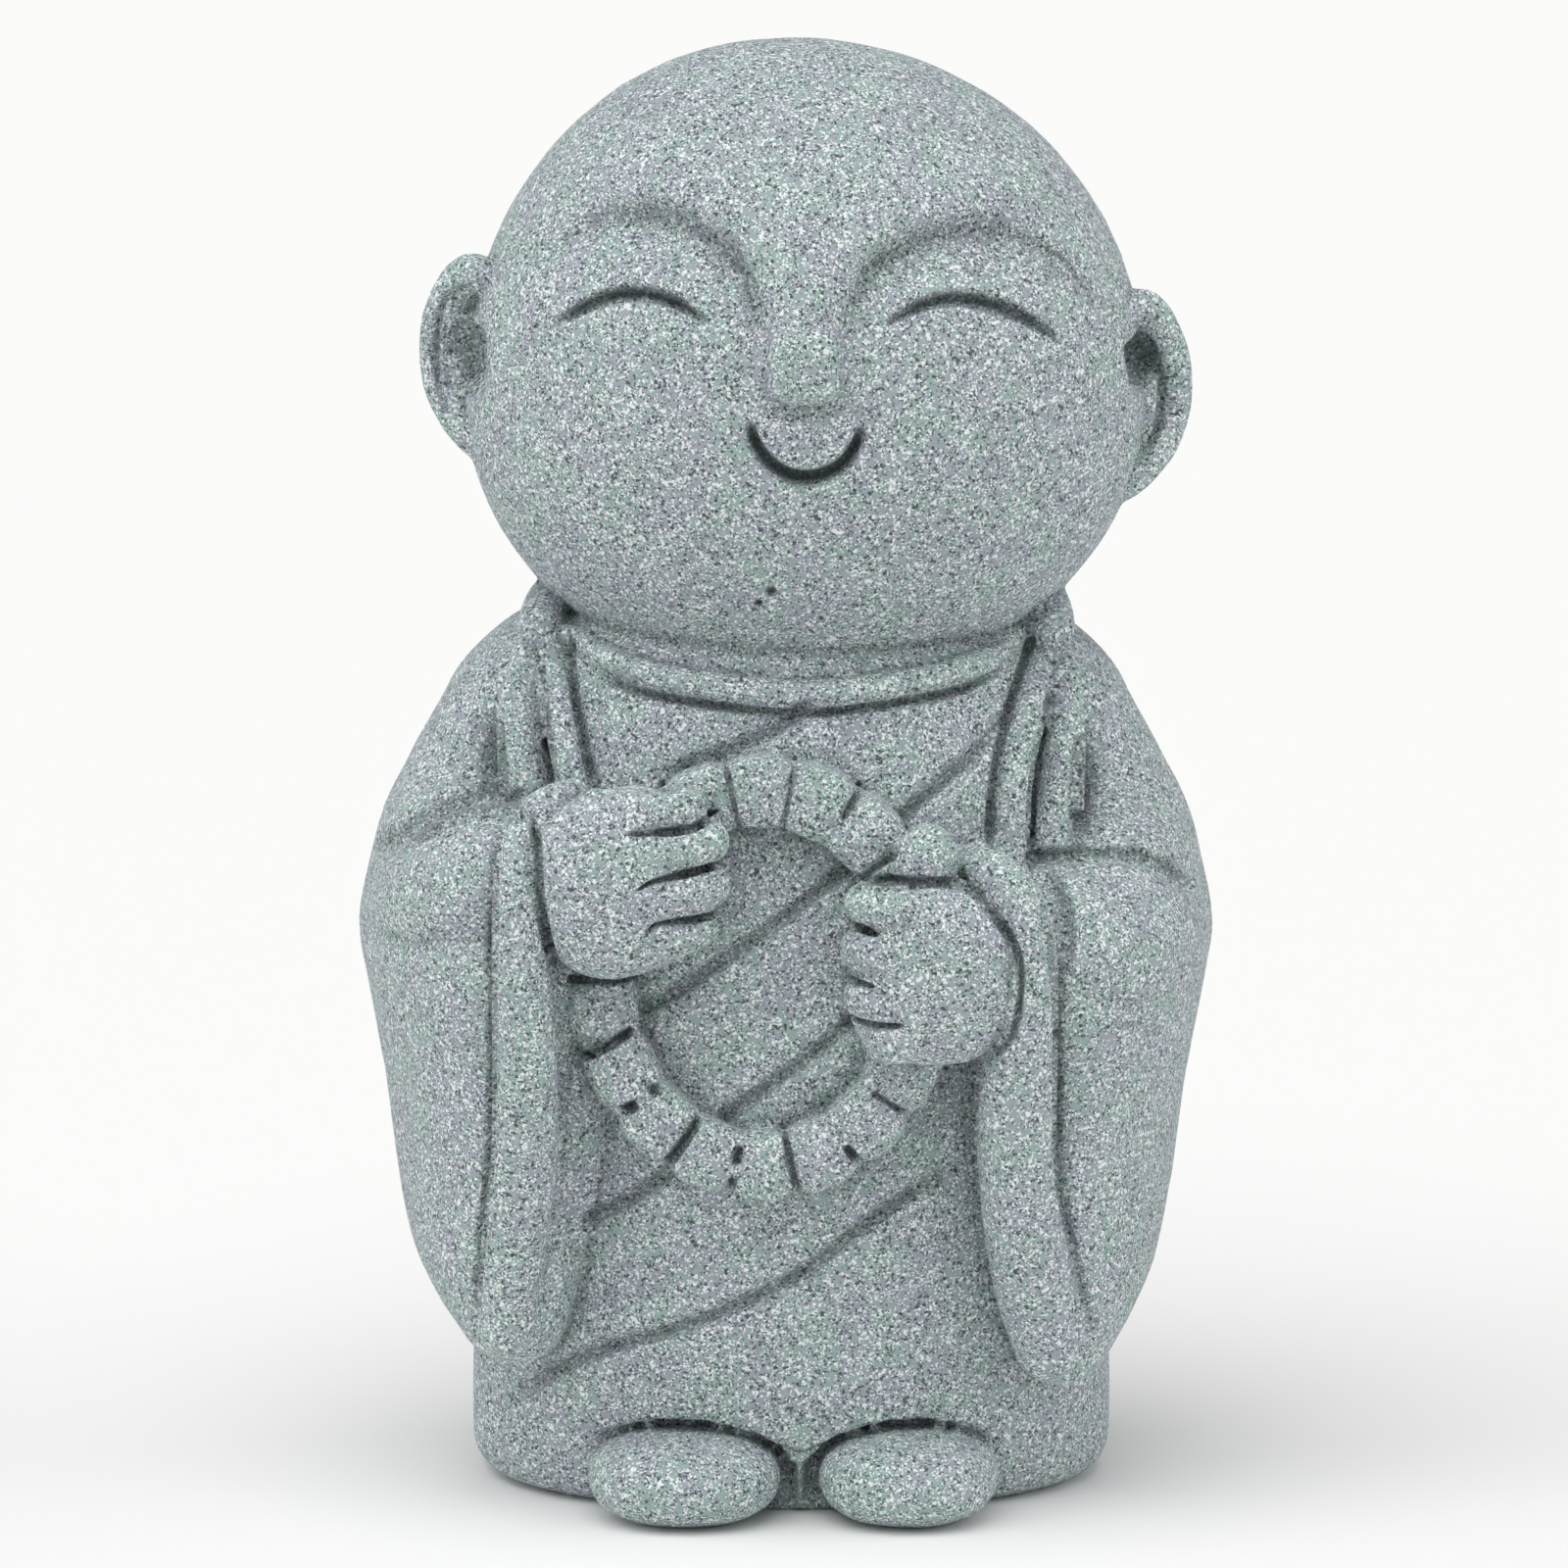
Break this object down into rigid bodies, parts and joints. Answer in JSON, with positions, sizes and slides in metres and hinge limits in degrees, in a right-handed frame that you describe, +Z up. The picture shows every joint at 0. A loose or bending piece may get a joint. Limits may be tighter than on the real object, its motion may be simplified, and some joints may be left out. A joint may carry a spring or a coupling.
{
  "type": "stone buddha statue",
  "caption": "Small cast-stone statue of a standing child monk with closed smiling eyes, holding a ring of prayer beads before the belly; wide sleeves hang from the forearms",
  "frame": {"origin": "the middle of the flat underside that the statue stands on, between the two sides of the hem", "axes": "+Z is up, the face looks along -Y, +X is to the right of someone looking at the face"},
  "size_m": [0.0592, 0.046, 0.1],
  "materials": {
    "stone": "matte, fine salt-and-pepper grain"
  },
  "bodies": {
    "root": {"stone_monk_statue": "stone"}
  },
  "joints": []
}
